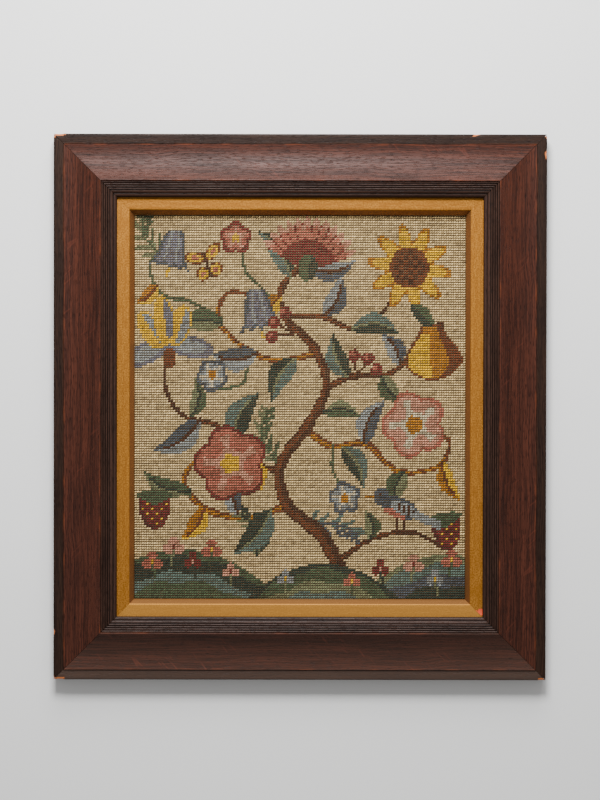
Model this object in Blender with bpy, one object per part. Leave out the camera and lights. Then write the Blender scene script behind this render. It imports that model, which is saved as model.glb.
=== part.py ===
"""A needlepoint picture in its frame, lying on its back.

Four mitred oak rails surround four mitred gilt slip rails, which press the stitched canvas
onto a backing board in the frame's rebate. X runs across the picture, Y up it, and Z from the
back of the frame to its face. The origin is the middle of the back.
"""

import math

import bmesh
import bpy

MM = 0.001

# Outside size of the frame
FRAME_WIDTH = 520.0 * MM
FRAME_HEIGHT = 576.0 * MM

# Gaps that keep neighbouring solids apart
FIT_GAP = 0.3 * MM
MITRE_CUT = FIT_GAP / math.sqrt(2.0)

# Depths in the rebate, measured from the back of the frame
BOARD_BACK = 2.4 * MM
BOARD_THICKNESS = 5.0 * MM
CANVAS_THICKNESS = 0.8 * MM
STITCHED_THICKNESS = 2.2 * MM
CANVAS_BACK = BOARD_BACK + BOARD_THICKNESS + FIT_GAP
SLIP_BACK = CANVAS_BACK + STITCHED_THICKNESS + FIT_GAP
SLIP_THICKNESS = 9.2 * MM
SLIP_TOP = SLIP_BACK + SLIP_THICKNESS
REBATE_CEILING = SLIP_TOP + FIT_GAP

# Oak rail, from its outside inwards
OUTER_HEIGHT = 17.5 * MM
OUTER_BAND = 10.8 * MM
OUTER_ROUNDING = 1.3 * MM
QUIRK_WIDTH = 0.5 * MM
QUIRK_DEPTH = 0.7 * MM
COVE_START_HEIGHT = 18.6 * MM
COVE_WIDTH = 39.2 * MM
COVE_OUTER_SLOPE = -4.0
COVE_INNER_SLOPE = 37.0
COVE_STEPS = 14
RIDGE_WIDTH = 0.9 * MM
RIDGE_STEP = 0.2 * MM
RIDGE_DROP = 1.8 * MM
RIDGE_FALL = 0.2 * MM
ROUND_SIDES = 4
REED_COUNT = 4
REED_WIDTH = 2.3 * MM
REED_RISE = 0.8 * MM
REED_STEP_DOWN = 0.55 * MM
BEAD_COUNT = 2
BEAD_WIDTH = 3.45 * MM
BEAD_RISE = 0.7 * MM
BEAD_STEP_DOWN = 1.7 * MM
REBATE_WIDTH = 8.0 * MM

# Gilt slip, from its outside inwards
SLIP_CLEARANCE = 1.0 * MM
SLIP_SHOWING_FLAT = 12.8 * MM
SLIP_BEVEL_WIDTH = 4.9 * MM
SLIP_EDGE_HEIGHT = 1.2 * MM
SLIP_ARRIS = 0.5 * MM

# Stitched canvas and board
CANVAS_CLEARANCE = 1.0 * MM
STITCHES_UNDER_SLIP = 6.0 * MM

# Colours as (red, green, blue), then roughness and metallic
FINISHES = {
    "stained_oak": ((0.075, 0.028, 0.018), 0.42, 0.0),
    "gilt": ((0.50, 0.26, 0.06), 0.45, 0.35),
    "wool_needlepoint": ((0.42, 0.34, 0.22), 0.95, 0.0),
    "backing_board": ((0.30, 0.22, 0.14), 0.90, 0.0),
}


def clear_scene():
    for item in list(bpy.data.objects):
        bpy.data.objects.remove(item, do_unlink=True)


def finish(name):
    """The Principled material of that name, made once."""
    made = bpy.data.materials.get(name)
    if made is not None:
        return made
    colour, roughness, metallic = FINISHES[name]
    made = bpy.data.materials.new(name)
    made.use_nodes = True
    shader = made.node_tree.nodes["Principled BSDF"]
    shader.inputs["Base Color"].default_value = (*colour, 1.0)
    shader.inputs["Roughness"].default_value = roughness
    shader.inputs["Metallic"].default_value = metallic
    return made


def keep_mesh(name, form, material):
    """Turns the bmesh into an object of that name in the scene."""
    mesh = bpy.data.meshes.new(name)
    form.to_mesh(mesh)
    form.free()
    mesh.materials.append(material)
    made = bpy.data.objects.new(name, mesh)
    bpy.context.scene.collection.objects.link(made)
    return made


def outer_band():
    """The outside edge, its rounding and the flat band, up to the quirk beside the cove."""
    points = [(0.0, 0.0)]
    for quarter in (0.0, 0.5, 1.0):
        turn = math.radians(90.0 * quarter)
        inset = OUTER_ROUNDING * (1.0 - math.cos(turn))
        height = OUTER_HEIGHT - OUTER_ROUNDING * (1.0 - math.sin(turn))
        points.append((inset, height))
    points.append((OUTER_BAND - QUIRK_WIDTH, OUTER_HEIGHT))
    points.append((OUTER_BAND, OUTER_HEIGHT - QUIRK_DEPTH))
    return points


def cove():
    """A hollow that lies flat beside the outer band and climbs to the ridge."""
    first = math.radians(COVE_OUTER_SLOPE)
    last = math.radians(COVE_INNER_SLOPE)
    radius = COVE_WIDTH / (math.sin(last) - math.sin(first))
    points = []
    for step in range(COVE_STEPS + 1):
        slope = first + (last - first) * step / COVE_STEPS
        inset = OUTER_BAND + radius * (math.sin(slope) - math.sin(first))
        height = COVE_START_HEIGHT + radius * (math.cos(first) - math.cos(slope))
        points.append((inset, height))
    return points


def half_rounds(start, count, width, rise, step_down):
    """A run of half-round beads with a groove after each, every bead lower than the last."""
    inset, height = start
    points = []
    for bead in range(count):
        for side in range(1, ROUND_SIDES):
            share = side / ROUND_SIDES
            lift = rise * math.sin(math.pi * share)
            points.append((inset + width * share, height - step_down * share + lift))
        inset += width
        height -= step_down
        points.append((inset, height))
    return points


def rail_profile():
    """The oak rail's section as (inset from the outside, height above the back)."""
    points = outer_band() + cove()
    ridge_inset, ridge_height = points[-1]
    points.append((ridge_inset + RIDGE_WIDTH, ridge_height - RIDGE_FALL))
    points.append((ridge_inset + RIDGE_WIDTH + RIDGE_STEP, ridge_height - RIDGE_DROP))
    points += half_rounds(points[-1], REED_COUNT, REED_WIDTH, REED_RISE, REED_STEP_DOWN)
    points += half_rounds(points[-1], BEAD_COUNT, BEAD_WIDTH, BEAD_RISE, BEAD_STEP_DOWN)
    sight = points[-1][0]
    points.append((sight, REBATE_CEILING))
    points.append((sight - REBATE_WIDTH, REBATE_CEILING))
    points.append((sight - REBATE_WIDTH, 0.0))
    return points, sight


def slip_profile(frame_sight):
    """The gilt slip's section, and the inset of the edge that meets the stitches."""
    outside = frame_sight - REBATE_WIDTH + SLIP_CLEARANCE
    flat_end = frame_sight + SLIP_SHOWING_FLAT
    sight = flat_end + SLIP_BEVEL_WIDTH
    points = [
        (outside, SLIP_BACK),
        (outside, SLIP_TOP),
        (flat_end - SLIP_ARRIS, SLIP_TOP),
        (flat_end + 0.4 * SLIP_ARRIS, SLIP_TOP - SLIP_ARRIS),
        (sight, SLIP_BACK + SLIP_EDGE_HEIGHT),
        (sight, SLIP_BACK),
    ]
    return points, sight


def mitred_bar(name, section, outside_length, material):
    """A bar along X whose section is (inset along +Y, height along +Z), mitred at both ends."""
    bar = bmesh.new()
    corners = [bar.verts.new((0.0, inset, height)) for inset, height in section]
    near_end = bar.faces.new(corners)
    pushed = bmesh.ops.extrude_face_region(bar, geom=[near_end])
    far_corners = {item for item in pushed["geom"] if isinstance(item, bmesh.types.BMVert)}
    for corner in bar.verts:
        reach = outside_length / 2.0 - corner.co.y - MITRE_CUT
        corner.co.x = reach if corner in far_corners else -reach
    bmesh.ops.recalc_face_normals(bar, faces=bar.faces)
    return keep_mesh(name, bar, material)


def four_sides(kind, section, material):
    """The four rails of a rectangle, each placed with its outside on the frame's outside."""
    sides = {
        "bottom": (FRAME_WIDTH, (0.0, -FRAME_HEIGHT / 2.0), 0.0),
        "right": (FRAME_HEIGHT, (FRAME_WIDTH / 2.0, 0.0), 90.0),
        "top": (FRAME_WIDTH, (0.0, FRAME_HEIGHT / 2.0), 180.0),
        "left": (FRAME_HEIGHT, (-FRAME_WIDTH / 2.0, 0.0), 270.0),
    }
    for side, (length, (x, y), turn) in sides.items():
        rail = mitred_bar(f"{kind}_{side}", section, length, material)
        rail.location = (x, y, 0.0)
        rail.rotation_euler = (0.0, 0.0, math.radians(turn))


def slab(form, width, height, low, high):
    """Adds a flat block to the bmesh and returns its top face."""
    block = bmesh.ops.create_cube(form, size=1.0)["verts"]
    bmesh.ops.scale(form, verts=block, vec=(width, height, high - low))
    bmesh.ops.translate(form, verts=block, vec=(0.0, 0.0, (low + high) / 2.0))
    form.faces.ensure_lookup_table()
    return max(form.faces, key=lambda face: face.calc_center_median().z)


def needlepoint(rebate_inset, slip_sight):
    """One flat sheet: thin bare canvas at its margin, and the thicker stitched field inside."""
    margin_inset = rebate_inset + CANVAS_CLEARANCE
    width = FRAME_WIDTH - 2.0 * margin_inset
    height = FRAME_HEIGHT - 2.0 * margin_inset
    form = bmesh.new()
    top = slab(form, width, height, CANVAS_BACK, CANVAS_BACK + CANVAS_THICKNESS)
    bare_margin = slip_sight - STITCHES_UNDER_SLIP - margin_inset
    bmesh.ops.inset_region(form, faces=[top], thickness=bare_margin, use_even_offset=True)
    raised = bmesh.ops.extrude_face_region(form, geom=[top])
    raised_corners = [item for item in raised["geom"] if isinstance(item, bmesh.types.BMVert)]
    bmesh.ops.delete(form, geom=[top], context="FACES")
    lift = STITCHED_THICKNESS - CANVAS_THICKNESS
    bmesh.ops.translate(form, verts=raised_corners, vec=(0.0, 0.0, lift))
    bmesh.ops.recalc_face_normals(form, faces=form.faces)
    keep_mesh("needlepoint", form, finish("wool_needlepoint"))


def backing_board(rebate_inset):
    """The board that the canvas is stretched over, let into the rebate from behind."""
    inset = rebate_inset + CANVAS_CLEARANCE
    form = bmesh.new()
    slab(
        form,
        FRAME_WIDTH - 2.0 * inset,
        FRAME_HEIGHT - 2.0 * inset,
        BOARD_BACK,
        BOARD_BACK + BOARD_THICKNESS,
    )
    keep_mesh("backing_board", form, finish("backing_board"))


def main():
    clear_scene()
    rail_section, frame_sight = rail_profile()
    slip_section, slip_sight = slip_profile(frame_sight)
    rebate_inset = frame_sight - REBATE_WIDTH
    four_sides("rail", rail_section, finish("stained_oak"))
    four_sides("slip", slip_section, finish("gilt"))
    needlepoint(rebate_inset, slip_sight)
    backing_board(rebate_inset)


main()
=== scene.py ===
"""A needlepoint picture in its oak frame, lying on its back and seen from above.

X runs across the picture, Y up it and Z out of its face, in metres. The frame's rails and the
gilt slip rails are swept from their sections, and every stitch is a shape of its own, placed and
coloured by a chart that is drawn below.
"""

import math

import bmesh
import bpy
import numpy as np
from mathutils import Euler, Matrix, Vector, noise


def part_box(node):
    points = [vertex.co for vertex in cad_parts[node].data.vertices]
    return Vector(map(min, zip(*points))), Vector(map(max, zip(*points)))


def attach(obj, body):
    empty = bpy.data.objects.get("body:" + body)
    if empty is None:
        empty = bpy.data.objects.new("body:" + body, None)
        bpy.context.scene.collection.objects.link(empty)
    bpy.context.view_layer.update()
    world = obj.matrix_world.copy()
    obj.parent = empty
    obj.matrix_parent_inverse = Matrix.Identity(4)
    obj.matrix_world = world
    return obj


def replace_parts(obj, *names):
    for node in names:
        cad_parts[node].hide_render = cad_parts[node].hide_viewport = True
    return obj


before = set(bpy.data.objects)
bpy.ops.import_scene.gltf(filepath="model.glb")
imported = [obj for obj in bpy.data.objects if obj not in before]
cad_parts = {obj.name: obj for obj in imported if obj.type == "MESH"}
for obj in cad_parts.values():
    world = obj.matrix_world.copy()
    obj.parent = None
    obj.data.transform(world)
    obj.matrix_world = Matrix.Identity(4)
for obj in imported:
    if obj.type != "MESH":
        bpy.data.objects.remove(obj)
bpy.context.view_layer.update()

MM = 0.001

# Outside of the frame and the depths of what lies in its rebate
FRAME_WIDTH = 520.0 * MM
FRAME_HEIGHT = 576.0 * MM
RAIL_MITRE_CUT = 0.21 * MM
SLIP_MITRE_CUT = 0.05 * MM
CANVAS_THICKNESS = 0.8 * MM
REBATE_CEILING = 19.7 * MM

# Oak rail, from its outside inwards
OUTER_HEIGHT = 17.5 * MM
OUTER_BAND = 10.8 * MM
OUTER_ROUNDING = 1.3 * MM
QUIRK_WIDTH = 0.5 * MM
QUIRK_DEPTH = 0.7 * MM
COVE_START_HEIGHT = 18.6 * MM
COVE_WIDTH = 39.2 * MM
COVE_OUTER_SLOPE = -4.0
COVE_INNER_SLOPE = 37.0
COVE_STEPS = 26
RIDGE_WIDTH = 0.9 * MM
RIDGE_STEP = 0.2 * MM
RIDGE_DROP = 1.8 * MM
RIDGE_FALL = 0.2 * MM
ROUND_SIDES = 7
REED_COUNT = 4
REED_WIDTH = 2.3 * MM
REED_RISE = 0.8 * MM
REED_STEP_DOWN = 0.55 * MM
BEAD_COUNT = 2
BEAD_WIDTH = 3.45 * MM
BEAD_RISE = 0.7 * MM
BEAD_STEP_DOWN = 1.7 * MM
REBATE_WIDTH = 8.0 * MM
RIDGE_INSET = OUTER_BAND + COVE_WIDTH
REEDS_INSET = RIDGE_INSET + RIDGE_WIDTH + RIDGE_STEP
BEADS_INSET = REEDS_INSET + REED_COUNT * REED_WIDTH
FRAME_SIGHT = BEADS_INSET + BEAD_COUNT * BEAD_WIDTH

# Gilt slip, from its outside inwards
SLIP_BACK = 10.2 * MM
SLIP_TOP = 19.4 * MM
SLIP_CLEARANCE = 1.0 * MM
SLIP_SHOWING_FLAT = 12.8 * MM
SLIP_BEVEL_WIDTH = 4.9 * MM
SLIP_EDGE_HEIGHT = 1.2 * MM
SLIP_ARRIS = 0.6 * MM
SLIP_FLAT_END = FRAME_SIGHT + SLIP_SHOWING_FLAT

# Stations along a rail: their spacing, and a closer one near its ends
STATION_SPACING = 5.0 * MM
END_LENGTH = 14.0 * MM
END_SPACING = 1.0 * MM

# A chip's outline: its waves to the metre and how ragged it is. Its bare part against its depth.
CHIP_WAVES = 400.0
CHIP_RAGGEDNESS = 0.5
CHIP_BARENESS = 1.6

# Stitches
COLUMNS = 143
ROWS = 160
COLUMN_PITCH = 2.518 * MM
ROW_PITCH = 2.598 * MM
STITCH_LENGTH = 3.2 * MM
STITCH_WIDTH = 1.85 * MM
STITCH_THICKNESS = 1.5 * MM
STITCH_SLANT = 28.0
STITCH_SINK = 0.45 * MM
CANVAS_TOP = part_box("needlepoint")[0].z + CANVAS_THICKNESS
STITCH_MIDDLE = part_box("needlepoint")[1].z - STITCH_THICKNESS / 2.0
CANVAS_SEGMENTS = 40

# How the canvas threads wander: how far, in how many radians to the metre, and from what turn
WANDER_ACROSS = (0.25 * MM, 23.0, 0.6)
WANDER_UP = (0.22 * MM, 19.0, 1.1)

# The stitches' spread in place, slant, size and tone, and the seed that it is drawn from
SPREAD_SEED = 4
SPREAD_ACROSS = 0.05 * MM
SPREAD_UP = 0.04 * MM
SPREAD_SLANT = 3.0
SPREAD_SIZE = 0.04
SPREAD_TONE = 0.10

# Stitches worked from one length of yarn, and the spread in tone between lengths
STITCHES_A_LENGTH = 12
SPREAD_LENGTH_TONE = 0.07

# The stitches' map: from low to high, with what faces down in the corner below it. A face faces
# down when its normal's height is below that value.
MAP_LOW = 0.03
MAP_HIGH = 0.99
MAP_CORNER = 0.02
MAP_FACING_DOWN = -0.05

# Yarns as seen in daylight: red, green and blue out of 255
YARNS = {
    "ground": (235, 204, 145),
    "cream": (236, 218, 178),
    "bottle_green": (46, 62, 52),
    "mid_green": (78, 96, 68),
    "sage": (128, 134, 96),
    "grey_green": (100, 122, 112),
    "slate_blue": (82, 90, 98),
    "light_blue": (156, 162, 160),
    "periwinkle": (122, 122, 134),
    "dark_brown": (78, 42, 24),
    "rust_brown": (118, 62, 32),
    "yellow": (255, 198, 4),
    "ochre": (192, 124, 16),
    "coral": (194, 108, 86),
    "peach": (226, 158, 128),
    "dark_red": (120, 44, 40),
    "maroon": (92, 32, 34),
}
YARN_NUMBERS = {name: number for number, name in enumerate(YARNS)}

# The other finishes, in the same way
FINISHES = {
    "cove_dark": (44, 24, 18),
    "cove_light": (78, 42, 31),
    "cove_fleck": (108, 54, 40),
    "band_dark": (32, 20, 15),
    "band_light": (50, 34, 26),
    "reed_dark": (42, 27, 21),
    "reed_light": (62, 42, 34),
    "groove_painted_shade": (14, 9, 8),
    "oak_pore": (20, 12, 10),
    "rubbed_stain": (132, 66, 36),
    "painted_sheen_grey": (112, 92, 82),
    "bare_oak": (188, 108, 60),
    "gilt_dark": (136, 87, 30),
    "gilt_light": (178, 121, 50),
    "gilt_brushed": (134, 82, 26),
    "gilt_painted_sheen": (220, 158, 74),
    "gilt_lip_painted_shade": (108, 71, 48),
    "red_clay": (255, 104, 68),
    "board_dark": (150, 116, 78),
    "board_light": (196, 164, 120),
    "board_pore": (110, 80, 52),
    "canvas_hole_painted_shade": (40, 30, 20),
    "canvas_thread": (128, 106, 74),
    "wool_shade": (150, 144, 138),
    "wool_painted_gap_shade": (26, 18, 11),
}

# What the lightest stitches' own colour is multiplied by
WOOL_HIGHLIGHT = (1.30, 1.28, 1.24, 1.0)


def linear(colour):
    """A colour given out of 255, as the shader's own linear values."""
    parts = [part / 255.0 for part in colour]
    parts = [part / 12.92 if part <= 0.04045 else ((part + 0.055) / 1.055) ** 2.4 for part in parts]
    return (*parts, 1.0)


def tint(name):
    return linear(FINISHES[name])


# Shader helpers

def add(tree, kind, inputs=(), **settings):
    """A shader node, with its inputs set to values or linked to other nodes' outputs."""
    made = tree.nodes.new("ShaderNode" + kind)
    for name, value in settings.items():
        setattr(made, name, value)
    for name, value in dict(inputs).items():
        if isinstance(value, bpy.types.NodeSocket):
            tree.links.new(value, made.inputs[name])
        else:
            made.inputs[name].default_value = value
    return made


def attribute(tree, name, output="Fac"):
    return add(tree, "Attribute", attribute_name=name).outputs[output]


def calculate(tree, operation, first, second=0.0, third=0.0):
    return add(tree, "Math", {0: first, 1: second, 2: third}, operation=operation).outputs[0]


def times(tree, first, second):
    return calculate(tree, "MULTIPLY", first, second)


def fade(tree, value, start, end, low=0.0, high=1.0):
    """Goes smoothly from low to high as the value goes from start to end."""
    inputs = {"Value": value, "From Min": start, "From Max": end, "To Min": low, "To Max": high}
    return add(tree, "MapRange", inputs, interpolation_type="SMOOTHSTEP").outputs[0]


def mix(tree, factor, first, second, blend="MIX"):
    made = add(tree, "Mix", {0: factor, 6: first, 7: second}, data_type="RGBA", blend_type=blend)
    return made.outputs[2]


def grain_noise(tree, place, per_metre, detail=3.0, turn=0.0):
    """Noise with so many waves to the metre along each axis, its axes turned by that many degrees."""
    waves = [1.0 / count for count in per_metre]
    inputs = {"Vector": place, "Scale": waves, "Rotation": (0.0, 0.0, math.radians(turn))}
    mapping = add(tree, "Mapping", inputs, vector_type="TEXTURE")
    inputs = {"Vector": mapping.outputs[0], "Scale": 1.0, "Detail": detail}
    return add(tree, "TexNoise", inputs).outputs[0]


def new_material(name, constants):
    """A material whose Principled shader has those constant values."""
    made = bpy.data.materials.new(name)
    made.use_nodes = True
    shader = made.node_tree.nodes["Principled BSDF"]
    for label, value in constants.items():
        shader.inputs[label].default_value = value
    return made, made.node_tree, shader


def connect(tree, shader, colour, height, depth, roughness=None):
    """Feeds the shader's colour and bump, and its roughness where that varies."""
    tree.links.new(colour, shader.inputs["Base Color"])
    bump = add(tree, "Bump", {"Height": height, "Distance": depth, "Strength": 1.0})
    tree.links.new(bump.outputs[0], shader.inputs["Normal"])
    if roughness is not None:
        tree.links.new(roughness, shader.inputs["Roughness"])


def new_group(name, label, kind):
    """A shader node group with one input of that label and kind, and what comes in by it."""
    tree = bpy.data.node_groups.new(name, "ShaderNodeTree")
    tree.interface.new_socket(label, in_out="INPUT", socket_type="NodeSocket" + kind)
    return tree, tree.nodes.new("NodeGroupInput").outputs[label]


def finish_group(tree, results):
    """Gives a group its outputs, each with its label, kind and value."""
    for label, kind, _ in results:
        tree.interface.new_socket(label, in_out="OUTPUT", socket_type="NodeSocket" + kind)
    end = tree.nodes.new("NodeGroupOutput")
    for label, _, value in results:
        tree.links.new(value, end.inputs[label])
    return tree


def wood_grain_group():
    """Streaks, pores and their height, on coordinates whose first axis runs along the grain."""
    tree, place = new_group("wood_grain", "Place", "Vector")
    sway = calculate(tree, "SUBTRACT", grain_noise(tree, place, (9.0, 20.0, 1.0), 1.0), 0.5)
    sway = add(tree, "CombineXYZ", {1: times(tree, sway, 12.0 * MM)}).outputs[0]
    place = add(tree, "VectorMath", {0: place, 1: sway}, operation="ADD").outputs[0]
    broad = times(tree, grain_noise(tree, place, (4.0, 90.0, 1.0), 2.0), 0.35)
    fine = grain_noise(tree, place, (16.0, 820.0, 1.0), 4.0)
    streak = calculate(tree, "ADD", broad, times(tree, fine, 0.65))
    pore = fade(tree, grain_noise(tree, place, (110.0, 1700.0, 1.0), 1.0), 0.56, 0.68)
    rays = fade(tree, grain_noise(tree, place, (38.0, 300.0, 1.0), 1.0, -50.0), 0.60, 0.74)
    clusters = fade(tree, grain_noise(tree, place, (8.0, 20.0, 1.0), 1.0), 0.45, 0.65)
    fleck = times(tree, rays, clusters)
    height = calculate(tree, "SUBTRACT", times(tree, fine, 0.3), pore)
    return finish_group(tree, [
        ("Streak", "Float", streak),
        ("Pore", "Float", pore),
        ("Fleck", "Float", fleck),
        ("Height", "Float", height),
    ])


def oak_reeds(tree, inset, streak):
    """Blacker reeds and beads, with painted shade darkening the grooves between them."""
    colour = mix(tree, streak, tint("reed_dark"), tint("reed_light"))
    runs = ((REEDS_INSET, REED_COUNT, REED_WIDTH), (BEADS_INSET, BEAD_COUNT, BEAD_WIDTH))
    for start, count, width in runs:
        away = calculate(tree, "PINGPONG", calculate(tree, "SUBTRACT", inset, start), width / 2.0)
        half_run = count * width / 2.0
        within = calculate(tree, "COMPARE", inset, start + half_run, half_run)
        # Painted shade: the grooves between the reeds and between the beads are darkened almost to black.
        painted_groove_shade = times(tree, fade(tree, away, 0.1 * MM, 0.8 * MM, 0.85, 0.0), within)
        colour = mix(tree, painted_groove_shade, colour, tint("groove_painted_shade"))
    return colour


def rubbed_arrises(tree, rail, inset, colour):
    """Stain rubbed thin, in patches, beside the outer band and along the ridge."""
    patchy = fade(tree, grain_noise(tree, rail, (30.0, 100.0, 100.0)), 0.45, 0.70, 0.0, 0.45)
    for arris in (OUTER_BAND + 0.3 * MM, RIDGE_INSET + 0.3 * MM):
        away = calculate(tree, "ABSOLUTE", calculate(tree, "SUBTRACT", inset, arris))
        rubbed = times(tree, fade(tree, away, 0.2 * MM, 1.6 * MM, 1.0, 0.0), patchy)
        colour = mix(tree, rubbed, colour, tint("rubbed_stain"))
    return colour


def oak_material(group):
    """Dark stained oak: a red-brown cove between a blacker outer band and blacker reeds."""
    made, tree, shader = new_material("stained_oak_finish", {"Specular IOR Level": 0.13})
    rail = attribute(tree, "rail_place", "Vector")
    painted_sheen = attribute(tree, "painted_sheen")
    bare = attribute(tree, "bare")
    inset = add(tree, "SeparateXYZ", {0: rail}).outputs[2]
    grain = add(tree, "Group", {"Place": rail}, node_tree=group).outputs
    streak = fade(tree, grain["Streak"], 0.36, 0.64)
    cove_wood = mix(tree, streak, tint("cove_dark"), tint("cove_light"))
    # Ray flecks, shown stronger where a rail carries painted sheen.
    flecked = times(tree, grain["Fleck"], fade(tree, painted_sheen, 0.0, 1.0, 0.28, 0.6))
    cove_wood = mix(tree, flecked, cove_wood, tint("cove_fleck"))
    band_wood = mix(tree, streak, tint("band_dark"), tint("band_light"))
    inner = fade(tree, inset, RIDGE_INSET + 0.3 * MM, RIDGE_INSET + 1.0 * MM)
    outer = fade(tree, inset, OUTER_BAND - 0.2 * MM, OUTER_BAND + 0.6 * MM, 1.0, 0.0)
    colour = mix(tree, inner, cove_wood, oak_reeds(tree, inset, streak))
    colour = mix(tree, outer, colour, band_wood)
    colour = mix(tree, times(tree, grain["Pore"], 0.7), colour, tint("oak_pore"))
    colour = rubbed_arrises(tree, rail, inset, colour)
    # Painted sheen: the bottom rail's band and cove are mixed towards a paler grey, and its reeds are left
    # out.
    painted_sheen_share = times(tree, painted_sheen, fade(tree, outer, 0.0, 1.0, 0.17, 0.28))
    painted_sheen_share = times(tree, painted_sheen_share, fade(tree, inner, 0.0, 1.0, 1.0, 0.0))
    colour = mix(tree, painted_sheen_share, colour, tint("painted_sheen_grey"))
    ragged = calculate(tree, "ADD", bare, times(tree, grain["Streak"], 0.3))
    colour = mix(tree, fade(tree, ragged, 0.55, 0.70), colour, tint("bare_oak"))
    roughness = fade(tree, streak, 0.0, 1.0, 0.46, 0.38)
    connect(tree, shader, colour, grain["Height"], 0.11 * MM, roughness)
    return made


def gilt_material():
    """Gold finish over gesso, with a slight mottle, red clay where it has chipped, painted shade on the
    sight-edge bevel and painted sheen on the bottom slip.
    """
    constants = {"Metallic": 0.5, "Specular IOR Level": 0.1}
    made, tree, shader = new_material("gilt_finish", constants)
    rail = attribute(tree, "rail_place", "Vector")
    inset = add(tree, "SeparateXYZ", {0: rail}).outputs[2]
    speckled = grain_noise(tree, rail, (700.0, 800.0, 1.0))
    brushed = grain_noise(tree, rail, (60.0, 420.0, 1.0))
    colour = mix(tree, fade(tree, speckled, 0.3, 0.7), tint("gilt_dark"), tint("gilt_light"))
    colour = mix(tree, fade(tree, brushed, 0.35, 0.65, 0.0, 0.5), colour, tint("gilt_brushed"))
    # Painted sheen: the bottom slip is mixed towards a paler gold.
    colour = mix(tree, times(tree, attribute(tree, "painted_sheen"), 0.5), colour, tint("gilt_painted_sheen"))
    # Painted shade: the sight-edge bevel of every slip is mixed towards a darker brown.
    lip = fade(tree, inset, SLIP_FLAT_END, SLIP_FLAT_END + 1.0 * MM, 0.0, 0.7)
    colour = mix(tree, lip, colour, tint("gilt_lip_painted_shade"))
    bare = fade(tree, attribute(tree, "bare"), 0.40, 0.55)
    colour = mix(tree, bare, colour, tint("red_clay"))
    height = calculate(tree, "ADD", brushed, speckled)
    connect(tree, shader, colour, height, 0.05 * MM, fade(tree, speckled, 0.2, 0.8, 0.44, 0.56))
    return made


def board_material(group):
    """Plain pale softwood, with its grain across the picture."""
    made, tree, shader = new_material("board_finish", {"Roughness": 0.8})
    place = add(tree, "TexCoord").outputs["Object"]
    grain = add(tree, "Group", {"Place": place}, node_tree=group).outputs
    colour = mix(tree, grain["Streak"], tint("board_dark"), tint("board_light"))
    colour = mix(tree, times(tree, grain["Pore"], 0.4), colour, tint("board_pore"))
    connect(tree, shader, colour, grain["Height"], 0.10 * MM)
    return made


def canvas_material():
    """Bare canvas: the over and under of its threads as two crossed waves, with painted shade in the holes
    between them.
    """
    made, tree, shader = new_material("canvas_weave", {"Roughness": 0.9})
    place = add(tree, "TexCoord").outputs["Object"]
    turns = (2.0 * math.pi / COLUMN_PITCH, 2.0 * math.pi / ROW_PITCH, 1.0)
    place = add(tree, "VectorMath", {0: place, 1: turns}, operation="MULTIPLY").outputs[0]
    across, up, _ = add(tree, "SeparateXYZ", {0: place}).outputs
    warp = calculate(tree, "COSINE", across)
    weft = calculate(tree, "COSINE", up)
    threads = calculate(tree, "MAXIMUM", warp, weft)
    # Painted shade: the holes between the threads are near black.
    colour = mix(tree, fade(tree, threads, -0.4, 0.6), tint("canvas_hole_painted_shade"), tint("canvas_thread"))
    connect(tree, shader, colour, threads, 0.25 * MM)
    return made


def wool_group():
    """Yarn: its colour varied from stitch to stitch and fibre to fibre, with painted shade darkening it
    where it dives into the canvas.
    """
    tree, yarn = new_group("wool", "Yarn", "Color")
    place = add(tree, "TexCoord").outputs["Object"]
    height = add(tree, "SeparateXYZ", {0: place}).outputs[2]
    fibres = grain_noise(tree, place, (600.0, 3200.0, 1500.0), 2.0, STITCH_SLANT)
    varied = fade(tree, fibres, 0.2, 0.8, -0.12, 0.12)
    shade = calculate(tree, "ADD", attribute(tree, "tone"), varied)
    dark = mix(tree, 1.0, yarn, tint("wool_shade"), "MULTIPLY")
    light = mix(tree, 1.0, yarn, WOOL_HIGHLIGHT, "MULTIPLY")
    colour = mix(tree, fade(tree, shade, -0.5, 0.5), dark, light)
    # Painted shade: the yarn goes towards near black low down by the canvas, in the gaps between stitches.
    painted_gap_shade = fade(tree, height, CANVAS_TOP + 0.2 * MM, CANVAS_TOP + 1.25 * MM, 0.92, 0.0)
    colour = mix(tree, painted_gap_shade, colour, tint("wool_painted_gap_shade"))
    return finish_group(tree, [("Colour", "Color", colour), ("Height", "Float", fibres)])


def wool_material(name, group):
    constants = {"Roughness": 0.92, "Specular IOR Level": 0.2, "Sheen Weight": 0.06}
    made, tree, shader = new_material(f"wool_{name}", constants)
    wool = add(tree, "Group", {"Yarn": linear(YARNS[name])}, node_tree=group).outputs
    connect(tree, shader, wool["Colour"], wool["Height"], 0.10 * MM)
    return made


# Mesh helpers

def new_object(name, data):
    made = bpy.data.objects.new(name, data)
    bpy.context.scene.collection.objects.link(made)
    return made


def finished_mesh(name, form):
    mesh = bpy.data.meshes.new(name)
    form.to_mesh(mesh)
    form.free()
    return mesh


def make_piece(name, mesh, material, smooth_below=35.0):
    """An object with its finish, riding on the one body."""
    made = new_object(name, mesh)
    mesh.materials.append(material)
    mesh.shade_smooth()
    mesh.set_sharp_from_angle(angle=math.radians(smooth_below))
    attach(made, "root")
    return made


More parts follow.
